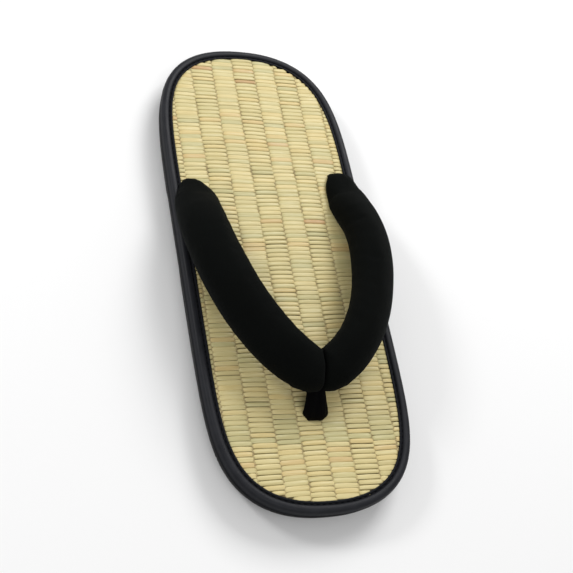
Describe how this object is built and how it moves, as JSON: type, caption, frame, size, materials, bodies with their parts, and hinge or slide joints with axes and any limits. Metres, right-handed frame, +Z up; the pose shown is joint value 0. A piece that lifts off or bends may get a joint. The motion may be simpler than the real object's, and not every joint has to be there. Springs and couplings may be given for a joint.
{
  "type": "zori sandal",
  "caption": "Flat thonged sandal: straight rounded rush footbed with a bound edge on a thin black sole, padded cloth V strap and toe post.",
  "frame": {"origin": "centre of the bounding box on the ground plane, under the middle of the sole", "axes": "+Z up, +Y towards the heel, -Y towards the toe, +X to the right as seen by someone who looks along +Y from the toe"},
  "size_m": [0.1066, 0.26, 0.0432],
  "materials": {
    "sole_rubber": "matte",
    "woven_rush": "satin",
    "binding_tape": "satin",
    "strap_cloth": "matte",
    "toe_loop_cloth": "matte"
  },
  "bodies": {
    "root": {"sole": "sole_rubber", "rush_mat": "woven_rush", "edge_binding": "binding_tape", "strap_pair": "strap_cloth", "toe_post": "toe_loop_cloth"}
  },
  "joints": []
}
